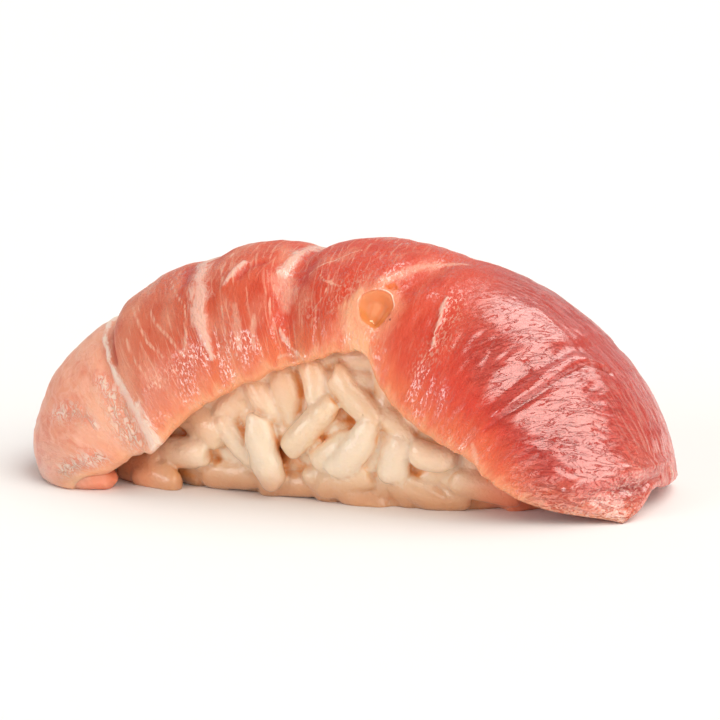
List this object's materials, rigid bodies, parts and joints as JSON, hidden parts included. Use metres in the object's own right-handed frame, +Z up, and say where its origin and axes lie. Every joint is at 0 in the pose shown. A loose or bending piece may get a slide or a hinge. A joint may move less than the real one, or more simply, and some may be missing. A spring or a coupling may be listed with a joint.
{
  "type": "tuna nigiri",
  "caption": "Tuna nigiri: a thick slice of raw fatty tuna arched over a hand-pressed block of sushi rice, with the rice showing along the front.",
  "frame": {"origin": "centre of the footprint, on the board that the nigiri stands on", "axes": "+X along the nigiri towards the deep red end, -Y towards the front where the rice shows, +Z up"},
  "size_m": [0.0699, 0.0315, 0.0262],
  "materials": {
    "raw_tuna": "wet raw fish, glossy and slightly translucent",
    "cooked_rice": "moist cooked rice, satin and slightly translucent"
  },
  "bodies": {
    "root": {"tuna_slice": "raw_tuna", "rice": "cooked_rice"}
  },
  "joints": []
}
